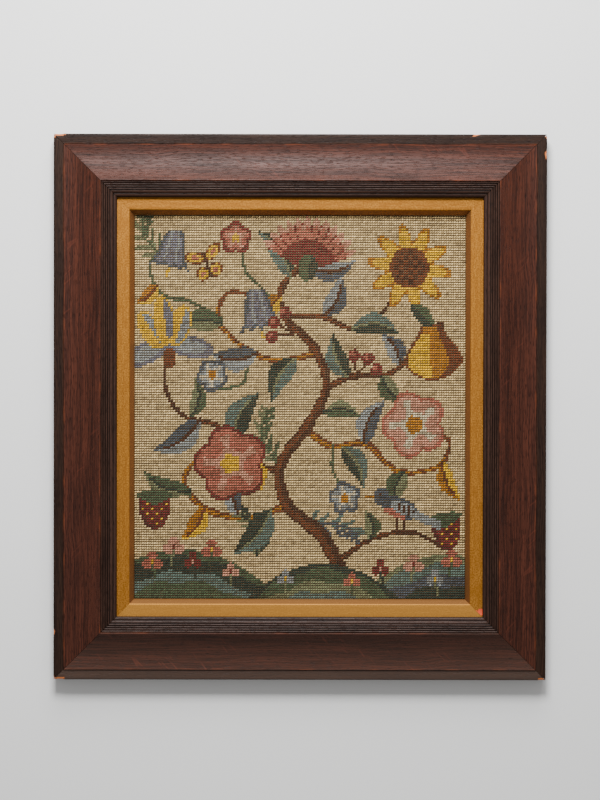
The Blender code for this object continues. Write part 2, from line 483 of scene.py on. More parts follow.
def outer_band():
    """The outside edge, its rounding and the flat band, up to the quirk beside the cove."""
    points = [(0.0, 0.0), (0.0, OUTER_HEIGHT / 3.0), (0.0, OUTER_HEIGHT * 2.0 / 3.0)]
    for quarter in np.linspace(0.0, 1.0, 6):
        turn = math.radians(90.0 * quarter)
        inset = OUTER_ROUNDING * (1.0 - math.cos(turn))
        points.append((inset, OUTER_HEIGHT - OUTER_ROUNDING * (1.0 - math.sin(turn))))
    for share in (0.25, 0.5, 0.75):
        points.append((OUTER_ROUNDING + share * (OUTER_BAND - OUTER_ROUNDING - QUIRK_WIDTH), OUTER_HEIGHT))
    points.append((OUTER_BAND - QUIRK_WIDTH, OUTER_HEIGHT))
    points.append((OUTER_BAND, OUTER_HEIGHT - QUIRK_DEPTH))
    return points


def cove():
    """A hollow that lies flat beside the outer band and climbs to the ridge."""
    first = math.radians(COVE_OUTER_SLOPE)
    last = math.radians(COVE_INNER_SLOPE)
    radius = COVE_WIDTH / (math.sin(last) - math.sin(first))
    points = []
    for slope in np.linspace(first, last, COVE_STEPS + 1):
        inset = OUTER_BAND + radius * (math.sin(slope) - math.sin(first))
        points.append((inset, COVE_START_HEIGHT + radius * (math.cos(first) - math.cos(slope))))
    return points


def half_rounds(start, count, width, rise, step_down):
    """A run of half-round beads with a groove after each, every bead lower than the last."""
    inset, height = start
    points = []
    for bead in range(count):
        for side in range(1, ROUND_SIDES):
            share = side / ROUND_SIDES
            lift = rise * math.sin(math.pi * share)
            points.append((inset + width * share, height - step_down * share + lift))
        inset += width
        height -= step_down
        points.append((inset, height))
    return points


def rail_profile():
    """The oak rail's section as (inset from the outside, height above the back)."""
    points = outer_band() + cove()
    ridge_inset, ridge_height = points[-1]
    points.append((ridge_inset + 0.5 * RIDGE_WIDTH, ridge_height + 0.1 * RIDGE_FALL))
    points.append((ridge_inset + RIDGE_WIDTH, ridge_height - RIDGE_FALL))
    points.append((ridge_inset + RIDGE_WIDTH + RIDGE_STEP, ridge_height - RIDGE_DROP))
    points += half_rounds(points[-1], REED_COUNT, REED_WIDTH, REED_RISE, REED_STEP_DOWN)
    points += half_rounds(points[-1], BEAD_COUNT, BEAD_WIDTH, BEAD_RISE, BEAD_STEP_DOWN)
    sight = points[-1][0]
    points.append((sight, REBATE_CEILING))
    points.append((sight - REBATE_WIDTH, REBATE_CEILING))
    points.append((sight - REBATE_WIDTH, 0.0))
    return points


def slip_profile():
    """The gilt slip's section, its arris rounded over, with more points where its chip lies."""
    outside = FRAME_SIGHT - REBATE_WIDTH + SLIP_CLEARANCE
    points = [(outside, SLIP_BACK), (outside, SLIP_TOP)]
    for share in (0.30, 0.36, 0.42, 0.48, 0.54, 0.60, 0.85):
        points.append((outside + share * (SLIP_FLAT_END - outside), SLIP_TOP))
    low = SLIP_BACK + SLIP_EDGE_HEIGHT
    slope = math.atan2(SLIP_TOP - low, SLIP_BEVEL_WIDTH)
    for turn in np.linspace(0.0, slope, 4):
        inset = SLIP_FLAT_END - SLIP_ARRIS * math.tan(slope / 2.0) + SLIP_ARRIS * math.sin(turn)
        points.append((inset, SLIP_TOP - SLIP_ARRIS * (1.0 - math.cos(turn))))
    for share in (0.35, 0.7, 1.0):
        points.append((SLIP_FLAT_END + share * SLIP_BEVEL_WIDTH, SLIP_TOP + share * (low - SLIP_TOP)))
    points.append((SLIP_FLAT_END + SLIP_BEVEL_WIDTH, SLIP_BACK))
    return points


# Knocks and chips, in mm: along the rail from its middle, in from the outside, how far each
# reaches along and across the rail, and depth
CHIPS = {
    "rail_top": [(254.0, 0.3, 7.5, 3.0, 0.6), (-186.0, 0.4, 5.0, 2.3, 0.6)],
    "rail_right": [(286.0, 0.5, 3.5, 1.6, 0.7), (267.0, 0.3, 6.0, 2.7, 0.6)],
    "rail_left": [(286.0, 0.4, 3.0, 1.4, 0.6), (237.0, 0.3, 3.5, 1.6, 0.6), (-286.0, 0.4, 3.0, 1.4, 0.6)],
    "rail_bottom": [(-254.0, 0.4, 7.0, 3.2, 0.7), (256.0, 0.4, 4.5, 2.0, 0.7)],
    "slip_right": [(-215.8, 67.0, 4.4, 6.6, 0.35)],
}

# How much painted sheen a rail carries beside the others, from 0 to 1: a paler, greyer colour in place of
# the sheen on the bottom rail and slip
PAINTED_SHEEN = {"rail_bottom": 1.0, "slip_bottom": 0.8}


def stations(length):
    """Places along a rail as shares of its half length, closer together near the ends."""
    half = length / 2.0
    near = np.arange(0.0, END_LENGTH, END_SPACING)
    far = np.linspace(END_LENGTH, half, int((half - END_LENGTH) / STATION_SPACING) + 1)
    inwards = np.concatenate([near, far]) / half
    return np.concatenate([inwards - 1.0, 1.0 - inwards[-2::-1]])


def chip(point, along, arc, section_arcs, knocks):
    """How much of the surface is knocked away at a vertex, from 0 to 1, and how deep."""
    worst = (0.0, 0.0)
    for place, inset, length, breadth, depth in knocks:
        centre = np.interp(inset * MM, *section_arcs)
        ragged = 1.0 + CHIP_RAGGEDNESS * noise.noise(Vector(point) * CHIP_WAVES)
        away = math.hypot((along - place * MM) / length, (arc - centre) / breadth) / (MM * ragged)
        worst = max(worst, (1.0 - away**2, depth * MM))
    return worst


def swept_form(section, cuts):
    """The section pushed along X from -1 to 1 and cut across at even places."""
    form = bmesh.new()
    corners = [form.verts.new((-1.0, inset, height)) for inset, height in section]
    near_end = form.faces.new(corners)
    pushed = bmesh.ops.extrude_face_region(form, geom=[near_end])["geom"]
    far_corners = [item for item in pushed if isinstance(item, bmesh.types.BMVert)]
    bmesh.ops.translate(form, verts=far_corners, vec=(2.0, 0.0, 0.0))
    lengthwise = [edge for edge in form.edges if abs(edge.verts[0].co.x - edge.verts[1].co.x) > 1.0]
    bmesh.ops.subdivide_edges(form, edges=lengthwise, cuts=cuts, use_grid_fill=True)
    bmesh.ops.recalc_face_normals(form, faces=form.faces)
    form.normal_update()
    return form


def swept_bar(name, section, mitre_cut, length, placing, material):
    """A mitred bar with its section swept along it, knocked about as the table says."""
    shares = stations(length)
    even = np.linspace(-1.0, 1.0, len(shares))
    form = swept_form(section, len(shares) - 2)
    steps = [math.dist(a, b) for a, b in zip(section, section[1:])]
    arcs = np.concatenate([[0.0], np.cumsum(steps)])
    arc_of = {(round(y, 6), round(z, 6)): arc for (y, z), arc in zip(section, arcs)}
    insets = [inset for inset, _ in section]
    showing = insets.index(max(insets)) + 1
    section_arcs = (insets[:showing], arcs[:showing])
    knocks = CHIPS.get(name, ())
    rail_place = []
    bare = []
    for vertex in form.verts:
        _, inset, height = vertex.co
        arc = arc_of[(round(inset, 6), round(height, 6))]
        reach = length / 2.0 - inset - mitre_cut
        along = float(np.interp(vertex.co.x, even, shares)) * reach
        vertex.co.x = along
        share, depth = chip(vertex.co, along, arc, section_arcs, knocks)
        vertex.co -= vertex.normal * depth * max(share, 0.0)
        rail_place.append((along, arc, inset))
        bare.append(min(max(share * CHIP_BARENESS, 0.0), 1.0))
    mesh = finished_mesh(name, form)
    places = mesh.attributes.new("rail_place", "FLOAT_VECTOR", "POINT")
    places.data.foreach_set("vector", np.ravel(rail_place))
    # Painted sheen: each bar's share, from the table above.
    painted_sheen = [PAINTED_SHEEN.get(name, 0.0)] * len(bare)
    for label, values in (("bare", bare), ("painted_sheen", painted_sheen)):
        mesh.attributes.new(label, "FLOAT", "POINT").data.foreach_set("value", values)
    mesh.transform(placing)
    return make_piece(f"{name}_shaped", mesh, material)


def four_sides(kind, section, mitre_cut, material):
    """The four bars of a rectangle, each in the place of its solid."""
    length, width = FRAME_WIDTH, FRAME_HEIGHT
    for quarter, side in enumerate(("bottom", "right", "top", "left")):
        name = f"{kind}_{side}"
        turn = Matrix.Rotation(math.radians(90.0 * quarter), 4, "Z")
        placing = turn @ Matrix.Translation((0.0, -width / 2.0, 0.0))
        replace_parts(swept_bar(name, section, mitre_cut, length, placing, material), name)
        length, width = width, length


# The stitched design. Places are in stitches from the middle of the field.

ACROSS, UP = np.meshgrid(
    np.arange(COLUMNS) - (COLUMNS - 1) / 2.0,
    np.arange(ROWS) - (ROWS - 1) / 2.0,
)

# The tree's trunk: its points, and its widths at root and top
TRUNK = [(17, -66), (9, -52), (-5, -40), (-8, -24), (3, -8), (11, 8), (6, 24), (-6, 36), (-8, 48), (1, 58)]
TRUNK_WIDTHS = (4.8, 2.2)

# A branch's yarn and the yarn of its lit side, where it has one
STEM_YARNS = {
    "dark": ("dark_brown", "rust_brown"),
    "light": ("rust_brown", "ochre"),
    "green": ("mid_green",),
}

# Each branch: its points, its widths at root and tip and its yarns
BRANCHES = [
    ([(-5, -40), (-20, -45), (-36, -43), (-48, -33), (-45, -23), (-34, -22)], (2.6, 1.6), "light"),
    ([(-46, -36), (-56, -30), (-62, -32), (-62, -36)], (1.4, 1.0), "green"),
    ([(-8, -26), (-22, -22), (-34, -8), (-48, -4), (-56, 6), (-57, 20)], (2.4, 1.2), "dark"),
    ([(2, -9), (14, -16), (28, -15), (42, -26), (58, -24), (63, -14), (54, -8)], (2.6, 1.4), "light"),
    ([(11, 8), (24, 13), (38, 14), (50, 24), (58, 34), (60, 32)], (2.4, 1.2), "dark"),
    ([(7, 22), (-8, 19), (-22, 23), (-34, 35), (-31, 46), (-21, 46)], (2.4, 1.4), "light"),
    ([(-6, 37), (8, 37), (22, 32), (34, 38), (42, 50)], (2.2, 1.4), "dark"),
    ([(-33, 36), (-46, 43), (-58, 46), (-63, 58), (-54, 68)], (1.6, 1.2), "green"),
    ([(17, -62), (32, -53), (48, -51), (60, -57)], (2.2, 1.2), "dark"),
    ([(-22, 23), (-24, 10), (-36, 8), (-38, 14)], (1.2, 1.0), "green"),
    ([(14, -16), (14, -26), (20, -34)], (1.2, 1.0), "green"),
    ([(-8, 42), (-22, 54), (-24, 66)], (1.2, 1.0), "green"),
]

# The widths of a line that is one stitch wide all along
THIN = (1.0, 1.0)

# A leaf's light half, its dark half and its vein
LEAF_YARNS = {
    "green": ("grey_green", "bottle_green", "sage"),
    "blue": ("light_blue", "slate_blue", "dark_brown"),
    "sage": ("sage", "mid_green", "bottle_green"),
    "autumn": ("yellow", "ochre", "rust_brown"),
}

# Each leaf: its base, its tip, its width, how far it bends and its yarns
LEAVES = [
    ((-12, -42), (-28, -60), 11, 0.10, "green"),
    ((-26, -44), (-36, -29), 8, -0.12, "blue"),
    ((-46, -34), (-66, -26), 8, 0.14, "sage"),
    ((-40, -41), (-50, -54), 8, 0.12, "autumn"),
    ((-20, -22), (-16, -34), 7, 0.10, "autumn"),
    ((-28, -14), (-17, 6), 11, 0.14, "green"),
    ((-42, -5), (-62, -18), 10, 0.12, "blue"),
    ((-46, -4), (-44, 12), 7, -0.16, "sage"),
    ((18, -16), (27, -33), 9, 0.12, "green"),
    ((27, -15), (36, 3), 9, 0.14, "blue"),
    ((44, -26), (40, -40), 9, -0.12, "sage"),
    ((60, -22), (68, -38), 7, -0.12, "autumn"),
    ((20, 12), (14, 30), 9, 0.12, "green"),
    ((34, 13), (44, 2), 8, -0.12, "sage"),
    ((42, 17), (34, 30), 8, -0.14, "blue"),
    ((-2, 20), (-12, 2), 10, -0.12, "green"),
    ((-18, 22), (-38, 22), 10, 0.14, "blue"),
    ((-33, 34), (-52, 32), 9, -0.14, "sage"),
    ((10, 37), (17, 54), 9, -0.14, "blue"),
    ((22, 32), (42, 30), 9, 0.16, "green"),
    ((-8, 46), (-22, 38), 8, 0.14, "autumn"),
    ((-4, 53), (-18, 72), 9, -0.12, "green"),
    ((3, 57), (24, 60), 8, -0.16, "blue"),
    ((30, -54), (28, -42), 7, -0.14, "sage"),
    ((-60, 50), (-69, 42), 6, 0.10, "autumn"),
    ((10, -2), (26, -4), 7, 0.14, "sage"),
]

# Each frond: its points, the reach of its leaflets, and its yarns
FRONDS = [
    ([(-58, 62), (-66, 70), (-65, 79)], 8, "sage", "mid_green"),
    ([(-18, -60), (-18, -50), (-24, -44)], 7, "sage", "bottle_green"),
    ([(-10, -22), (-16, -12), (-14, -2)], 7, "sage", "mid_green"),
    ([(2, -48), (16, -48), (24, -52)], 7, "grey_green", "slate_blue"),
]


def stitch(chart, where, yarn):
    chart[where] = YARN_NUMBERS[yarn]


def local(x, y, turn):
    """Coordinates aside from and along an axis that is turned that many degrees to the left."""
    angle = math.radians(turn)
    dx = ACROSS - x
    dy = UP - y
    aside = dx * math.cos(angle) + dy * math.sin(angle)
    along = dy * math.cos(angle) - dx * math.sin(angle)
    return aside, along


def polar(x, y, turn):
    aside, along = local(x, y, turn)
    return np.hypot(aside, along), np.arctan2(aside, along)


def oval(aside, along, width, height):
    """Below 1 inside an oval that reaches so far to each side of the axis and along it."""
    return (aside / width) ** 2 + (along / height) ** 2


def smooth_path(points, steps=14):
    """A smooth curve through the points."""
    ends = np.array([points[0], *points, points[-1]], dtype=float)
    share = np.linspace(0.0, 1.0, steps, endpoint=False)[:, None]
    stretches = []
    for a, b, c, d in zip(ends, ends[1:], ends[2:], ends[3:]):
        square = (2.0 * a - 5.0 * b + 4.0 * c - d) * share**2
        cube = (3.0 * b - a - 3.0 * c + d) * share**3
        stretches.append(b + 0.5 * ((c - a) * share + square + cube))
    return np.concatenate([*stretches, ends[-1:]])


def stem(chart, points, widths, yarn, lit=None):
    """A tapering line of stitches, with a lighter yarn down its left where one is given."""
    path = smooth_path(points)
    brushes = [(0.0, 0.5, 0.0, yarn)]
    if lit is not None:
        brushes.append((0.25, 0.25, 1.7, lit))
    for shift, share, thinnest, colour in brushes:
        for (x, y), width in zip(path, np.linspace(*widths, len(path))):
            reach = max(width * share, 0.5)
            away = np.maximum(abs(ACROSS - x + shift * width), abs(UP - y))
            if width > thinnest:
                stitch(chart, away <= reach, colour)


def leaf(chart, base, tip, width, bend, light, dark, vein):
    """A pointed leaf in two halves, with a vein."""
    dx = tip[0] - base[0]
    dy = tip[1] - base[1]
    length = math.hypot(dx, dy)
    along = ((ACROSS - base[0]) * dx + (UP - base[1]) * dy) / length**2
    aside = ((UP - base[1]) * dx - (ACROSS - base[0]) * dy) / length
    inside = (along > 0.0) & (along < 1.0)
    share = np.clip(along, 0.0, 1.0)
    aside = aside - bend * length * np.sin(math.pi * share)
    half = width / 2.0 * np.sin(math.pi * share**0.75)
    stitch(chart, inside & (aside >= 0.0) & (aside < half), light)
    stitch(chart, inside & (aside < 0.0) & (aside > -half), dark)
    stitch(chart, (abs(aside) < 0.55) & (along > -0.02) & (along < 0.82), vein)


def rosette(chart, x, y, size, turn, yarns, petals=5, depth=0.22):
    """A round flower: an outline, a body, a shaded middle and an eye."""
    edge, body, middle, eye = yarns
    reach, angle = polar(x, y, turn)
    outline = size * (1.0 - depth + depth * abs(np.cos(petals * angle / 2.0)))
    share = reach / outline
    stitch(chart, share < 1.0, edge)
    stitch(chart, share < 1.0 - 1.6 / size, body)
    stitch(chart, (share < 0.74) & (abs(np.sin(petals * angle / 2.0)) < 0.42), middle)
    stitch(chart, share < 0.42, middle)
    stitch(chart, share < 0.27, eye)


def sunflower(chart, x, y, size, turn, yarns, petals=10):
    """Pointed petals round a chequered seed head."""
    edge, body, ring, seed = yarns
    reach, angle = polar(x, y, turn)
    outline = size * (0.56 + 0.44 * abs(np.cos(petals * angle / 2.0)) ** 1.4)
    stitch(chart, reach < outline, edge)
    stitch(chart, reach < outline - 1.8, body)
    stitch(chart, reach < 0.46 * size, ring)
    checks = (np.floor(ACROSS / 2.0) + np.floor(UP / 2.0)) % 2 == 0
    stitch(chart, (reach < 0.37 * size) & checks, seed)


def carnation(chart, x, y, size, turn, yarns, petals=6, spread=66.0):
    """A flower seen from the side: a cup with a toothed fan of petals above it."""
    tip, body, base, cup = yarns
    reach, angle = polar(x, y, turn)
    wide = math.radians(spread)
    teeth = abs(((angle / wide + 1.0) * petals) % 1.0 - 0.5) * 2.0
    outline = size * (1.0 - 0.16 * teeth)
    inside = (abs(angle) < wide) & (reach < outline)
    stitch(chart, inside, tip)
    stitch(chart, inside & (reach < outline - 3.2), body)
    stitch(chart, inside & (reach < 0.56 * size), base)
    stitch(chart, inside & (teeth > 0.82) & (reach > 0.4 * size) & (reach < 0.86 * size), base)
    aside, along = local(x, y, turn)
    inside = oval(aside, along - 0.08 * size, 0.17 * size, 0.24 * size) < 1.0
    stitch(chart, inside, "bottle_green")
    stitch(chart, inside & (aside < 0.03 * size), cup)


def bellflower(chart, x, y, size, turn, yarns):
    """A bell that opens along its axis, with a scalloped lip and a stamen."""
    edge, body, stripe, stamen = yarns
    aside, along = local(x, y, turn)
    share = np.clip(along / size, 0.0, 1.0)
    half = size * (0.16 + 0.26 * np.sqrt(share) + 0.16 * share**6)
    lip = size * (1.0 - 0.10 * abs(np.sin(aside * 0.75)))
    inside = (along > 0.0) & (along < lip) & (abs(aside) < half)
    stitch(chart, (abs(aside) < 0.6) & (along >= 0.9 * size) & (along < 1.22 * size), stamen)
    stitch(chart, inside, edge)
    stitch(chart, inside & (abs(aside) < half - 1.4) & (along < lip - 1.4), body)
    stitch(chart, inside & (abs(abs(aside) - 0.38 * half) < 0.6) & (along < 0.8 * size), stripe)


def pear(chart, x, y, size, turn, yarns):
    """A pear with an outline, lit on one side and shaded on the other."""
    edge, lit, body, shade = yarns
    aside, along = local(x, y, turn)
    share = np.clip(along / size, 0.0, 1.0)
    half = size * (0.17 + 0.19 * share + 0.26 * np.sin(math.pi * share**1.6))
    half = half * np.sqrt(np.clip(1.0 - share**6, 0.0, 1.0))
    inside = (along > 0.0) & (along < size) & (abs(aside) < half)
    fill = inside & (abs(aside) < half - 1.2) & (along > 1.0) & (along < size - 1.3)
    stitch(chart, inside, edge)
    stitch(chart, fill, body)
    stitch(chart, fill & (aside < -0.50 * half), shade)
    stitch(chart, fill & (aside > 0.10 * half) & (share > 0.15), lit)
    aside, along = local(x, y, turn + 40.0)
    leafy = oval(aside, along + 0.22 * size, 0.14 * size, 0.26 * size) < 1.0
    stitch(chart, leafy, "mid_green")
    stitch(chart, leafy & (aside > 0.0), "bottle_green")


def strawberry(chart, x, y, size, turn, yarns):
    """A heart-shaped berry with seeds and a leafy cap."""
    edge, body, seed, cap = yarns
    aside, along = local(x, y, turn)
    share = np.clip(along / size, 0.0, 1.0)
    half = size * 0.5 * np.sqrt(np.clip(1.0 - share**2.2, 0.0, 1.0))
    inside = (along > 0.0) & (along < size) & (abs(aside) < half)
    row = np.floor(UP)
    seeds = (row % 2 == 0) & ((np.floor(ACROSS) + row // 2 % 2 * 2) % 4 == 0)
    cap_half = 0.6 * size * (1.0 - abs(along) / (0.32 * size))
    stitch(chart, inside, edge)
    stitch(chart, inside & (aside < half - 1.6), body)
    stitch(chart, inside & (abs(aside) < half - 1.2) & (along < size - 1.5) & seeds, seed)
    stitch(chart, (along > -0.16 * size) & (abs(aside) < cap_half), cap)


def iris(chart, x, y, size, turn, yarns):
    """Three standing petals over two that fall to the sides."""
    fall, fall_dark, standard, throat = yarns
    aside, along = local(x, y, turn)
    for side in (-1.0, 1.0):
        hanging = along - 0.26 * size + 0.28 * abs(aside)
        shape = oval(aside - side * 0.40 * size, hanging, 0.42 * size, 0.20 * size)
        stitch(chart, shape < 1.0, fall_dark)
        stitch(chart, shape < 0.45, fall)
    for lean, tall in ((-26.0, 0.96), (26.0, 0.96), (0.0, 1.1)):
        aside, along = local(x, y, turn + lean)
        petal = oval(aside, along / (tall * size) - 0.62, 0.20 * size, 0.40)
        stitch(chart, petal < 1.0, standard)
        stitch(chart, (petal < 0.70) & (aside > 0.3), fall_dark if lean == 0.0 else fall)
    stitch(chart, oval(ACROSS - x, UP - y, 0.12 * size, 0.17 * size) < 1.0, throat)


def butterfly(chart, x, y, size, turn, yarns):
    """Two pairs of wings beside a dark body."""
    edge, wing, spot, body = yarns
    aside, along = local(x, y, turn)
    aside = abs(aside)
    rising = along - 0.36 * size - 0.35 * aside
    upper = oval(aside - 0.50 * size, rising, 0.50 * size, 0.34 * size)
    lower = oval(aside - 0.36 * size, along + 0.36 * size, 0.36 * size, 0.36 * size)
    for shape in (lower, upper):
        stitch(chart, shape < 1.0, edge)
        stitch(chart, shape < 0.62, wing)
        stitch(chart, shape < 0.14, spot)
    stitch(chart, (aside < 0.6) & (abs(along) < 0.62 * size), body)


def bird(chart, x, y, size, turn, yarns):
    """A small bird in profile, facing left."""
    back, breast, wing, dark = yarns
    aside, along = local(x, y, turn)
    body = oval(aside, along + 0.22 * aside, 0.52 * size, 0.30 * size) < 1.0
    tail = (aside > 0.3 * size) & (aside < 1.15 * size)
    tail &= abs(along + 0.42 * aside) < 0.10 * size + 0.4
    head = np.hypot(aside + 0.50 * size, along - 0.30 * size) < 0.24 * size
    folded = along - 0.02 * size + 0.34 * aside
    feathers = oval(aside - 0.14 * size, folded, 0.40 * size, 0.17 * size)
    beak = (aside < -0.68 * size) & (aside > -1.0 * size) & (abs(along - 0.28 * size) < 0.7)
    eye = np.maximum(abs(aside + 0.55 * size), abs(along - 0.36 * size)) < 0.6
    legs = abs(abs(aside - 0.03 * size) - 0.11 * size) < 0.5
    legs &= (along < -0.2 * size) & (along > -0.66 * size)
    stitch(chart, tail, wing)
    stitch(chart, legs, dark)
    stitch(chart, body | head, back)
    stitch(chart, body & (along < -0.02 * size - 0.1 * aside) & (aside < 0.15 * size), breast)
    stitch(chart, feathers < 1.0, wing)
    stitch(chart, (feathers < 0.5) & (np.round(ACROSS) % 2 == 0), dark)
    stitch(chart, beak, "ochre")
    stitch(chart, eye, dark)


def berries(chart, x, y, size, turn, yarns):
    """Three berries on short stalks."""
    stalk, berry, lit = yarns
    for lean in (-38.0, 0.0, 38.0):
        angle = math.radians(turn + lean)
        tip_x = x - size * math.sin(angle)
        tip_y = y + size * math.cos(angle)
        stem(chart, [(x, y), (tip_x, tip_y)], THIN, stalk)
        stitch(chart, np.hypot(ACROSS - tip_x, UP - tip_y) < 2.6, berry)
        stitch(chart, np.hypot(ACROSS - tip_x + 0.7, UP - tip_y - 0.7) < 1.1, lit)


def frond(chart, points, size, yarn, dark):
    """A curved stalk with small leaflets on both sides."""
    path = smooth_path(points)
    for share in np.linspace(0.10, 1.0, 6):
        index = min(int(share * (len(path) - 1)), len(path) - 2)
        x, y = path[index]
        dx, dy = path[index + 1] - path[index]
        reach = size * (1.0 - 0.45 * share)
        for side, colour in ((-1.0, dark), (1.0, yarn)):
            angle = math.atan2(dy, dx) + side * math.radians(48.0)
            tip = (x + reach * math.cos(angle), y + reach * math.sin(angle))
            stem(chart, [(x, y), tip], (2.2, 1.0), colour)
    stem(chart, points, THIN, dark)


def posy(chart, x, y, size, lean, yarns):
    """A small round flower on a short stalk whose foot is so many stitches to the right."""
    petals, eye, stalk = yarns
    stem(chart, [(x + lean, y - 2.6 * size), (x, y)], THIN, stalk)
    for dx, dy in ((0.0, 0.8), (0.8, -0.3), (-0.8, -0.3)):
        stitch(chart, np.hypot(ACROSS - x - dx * size, UP - y - dy * size) < 0.8 * size, petals)
    stitch(chart, np.hypot(ACROSS - x, UP - y) < 0.7, eye)


def mound(chart, x, top, width, layers):
    """A low hill in rippled layers, each given as its yarn and its depth below the top."""
    edge = top - 24.0 * ((ACROSS - x) / width) ** 2
    for number, (yarn, depth) in enumerate(layers):
        ripple = 0.9 * np.sin((ACROSS - x) * 0.33 + 1.7 * number) if number else 0.0
        stitch(chart, UP < edge - depth + ripple, yarn)


# Yarns of the motifs that come more than once
PINK_ROSE = ("dark_red", "coral", "peach", "yellow")
BLUE_ROSE = ("slate_blue", "light_blue", "cream", "ochre")
BLUE_BELL = ("slate_blue", "periwinkle", "light_blue", "yellow")
RED_BERRY = ("maroon", "dark_red", "yellow", "mid_green")
CHERRIES = ("dark_brown", "dark_red", "coral")
PINK_POSY = ("coral", "yellow", "mid_green")
PALE_POSY = ("peach", "dark_red", "sage")
RED_POSY = ("dark_red", "peach", "bottle_green")
BLUE_POSY = ("light_blue", "yellow", "sage")

# Each motif: its drawing, its place, its size, its turn (for a posy, its lean) and its yarns
MOTIFS = [
    (carnation, 3, 55, 23, -6, ("peach", "coral", "dark_red", "mid_green")),
    (sunflower, 46, 57, 18, 10, ("ochre", "yellow", "rust_brown", "dark_brown")),
    (bellflower, -19, 48, 17, 190, BLUE_BELL),
    (bellflower, -52, 72, 16, 168, BLUE_BELL),
    (iris, -55, 20, 23, 8, ("light_blue", "periwinkle", "yellow", "rust_brown")),
    (rosette, -29, -23, 16, 14, PINK_ROSE),
    (rosette, 48, -7, 14, 20, ("coral", "peach", "cream", "ochre")),
    (rosette, -37, 13, 7, 30, BLUE_ROSE),
    (rosette, 19, -37, 7, 10, BLUE_ROSE),
    (rosette, -27, 69, 7, 0, PINK_ROSE),
    (pear, 55, 34, 23, 184, ("rust_brown", "yellow", "ochre", "rust_brown")),
    (strawberry, -61, -36, 14, 180, RED_BERRY),
    (strawberry, 61, -45, 13, 190, RED_BERRY),
    (berries, 24, 12, 9, -30, CHERRIES),
    (berries, -3, 30, 9, 60, CHERRIES),
    (butterfly, -39, 58, 8, 20, ("rust_brown", "yellow", "coral", "dark_brown")),
    (bird, 42, -41, 15, 0, ("slate_blue", "coral", "light_blue", "dark_brown")),
    (posy, -62, -63, 2.6, 1, PINK_POSY),
    (posy, -53, -57, 2.8, -1, PALE_POSY),
    (posy, -45, -63, 2.4, 1, RED_POSY),
    (posy, -37, -58, 2.6, -1, PINK_POSY),
    (posy, -29, -67, 2.2, 0, PALE_POSY),
    (posy, 34, -66, 2.4, 1, RED_POSY),
    (posy, 48, -64, 2.6, -1, PALE_POSY),
    (posy, 57, -70, 2.4, 1, BLUE_POSY),
    (posy, 64, -62, 2.6, -1, PINK_POSY),
    (posy, -6, -70, 2.2, 0, BLUE_POSY),
    (posy, 22, -71, 2.2, 0, PINK_POSY),
]

# Each hill: its place across, its top, its width and its layers
MOUNDS = [
    (62, -60, 44, (("sage", 0), ("grey_green", 3), ("slate_blue", 8), ("bottle_green", 13))),
    (-50, -58, 46, (("mid_green", 0), ("bottle_green", 3), ("grey_green", 9), ("mid_green", 13))),
    (10, -64, 42, (("bottle_green", 0), ("mid_green", 2), ("sage", 7), ("grey_green", 11))),
]


def draw_chart():
    """The yarn number of every stitch, row by row from the bottom."""
    chart = np.zeros((ROWS, COLUMNS), dtype=int)
    for points, widths, kind in BRANCHES:
        stem(chart, points, widths, *STEM_YARNS[kind])
    for points, size, yarn, dark in FRONDS:
        frond(chart, points, size, yarn, dark)
    stem(chart, TRUNK, TRUNK_WIDTHS, *STEM_YARNS["dark"])
    for base, tip, width, bend, kind in LEAVES:
        leaf(chart, base, tip, width, bend, *LEAF_YARNS[kind])
    for place, top, width, layers in MOUNDS:
        mound(chart, place, top, width, layers)
    for drawing, x, y, size, turn, yarns in MOTIFS:
        drawing(chart, x, y, size, turn, yarns)
    return chart


def stitch_form():
    """One slanted stitch as points and triangles: a plump strand whose ends dive into the canvas."""
    form = bmesh.new()
    bmesh.ops.create_uvsphere(form, u_segments=5, v_segments=4, radius=0.5)
    bmesh.ops.rotate(form, verts=form.verts, matrix=Matrix.Rotation(math.radians(90.0), 3, "Y"))
    bmesh.ops.scale(form, verts=form.verts, vec=(STITCH_LENGTH, STITCH_WIDTH, STITCH_THICKNESS))
    for vertex in form.verts:
        vertex.co.z -= STITCH_SINK * (2.0 * vertex.co.x / STITCH_LENGTH) ** 2
    bmesh.ops.triangulate(form, faces=form.faces)
    bmesh.ops.recalc_face_normals(form, faces=form.faces)
    points = np.array([vertex.co for vertex in form.verts])
    triangles = np.array([[vertex.index for vertex in face.verts] for face in form.faces])
    form.free()
    return points, triangles


def wander(places, reach, waves, start):
    return reach * np.sin(places * waves + start)


def stitch_places(generator):
    """For every stitch: its place, its turn, its size and its tone, row by row from the bottom."""
    count = ROWS * COLUMNS
    across = ACROSS.ravel() * COLUMN_PITCH
    up = UP.ravel() * ROW_PITCH
    across = across + wander(up, *WANDER_ACROSS) + generator.normal(0.0, SPREAD_ACROSS, count)
    up = up + wander(across, *WANDER_UP) + generator.normal(0.0, SPREAD_UP, count)
    turn = np.radians(STITCH_SLANT + generator.normal(0.0, SPREAD_SLANT, count))
    size = generator.normal(1.0, SPREAD_SIZE, count)
    tone = generator.normal(0.0, SPREAD_TONE, count)
    lengths = (ROWS, COLUMNS // STITCHES_A_LENGTH + 2)
    length_tones = generator.normal(0.0, SPREAD_LENGTH_TONE, lengths)
    shift = generator.integers(0, STITCHES_A_LENGTH, ROWS)
    length = (np.arange(COLUMNS)[None, :] + shift[:, None]) // STITCHES_A_LENGTH
    tone += np.take_along_axis(length_tones, length, axis=1).ravel()
    return across, up, turn, size, tone


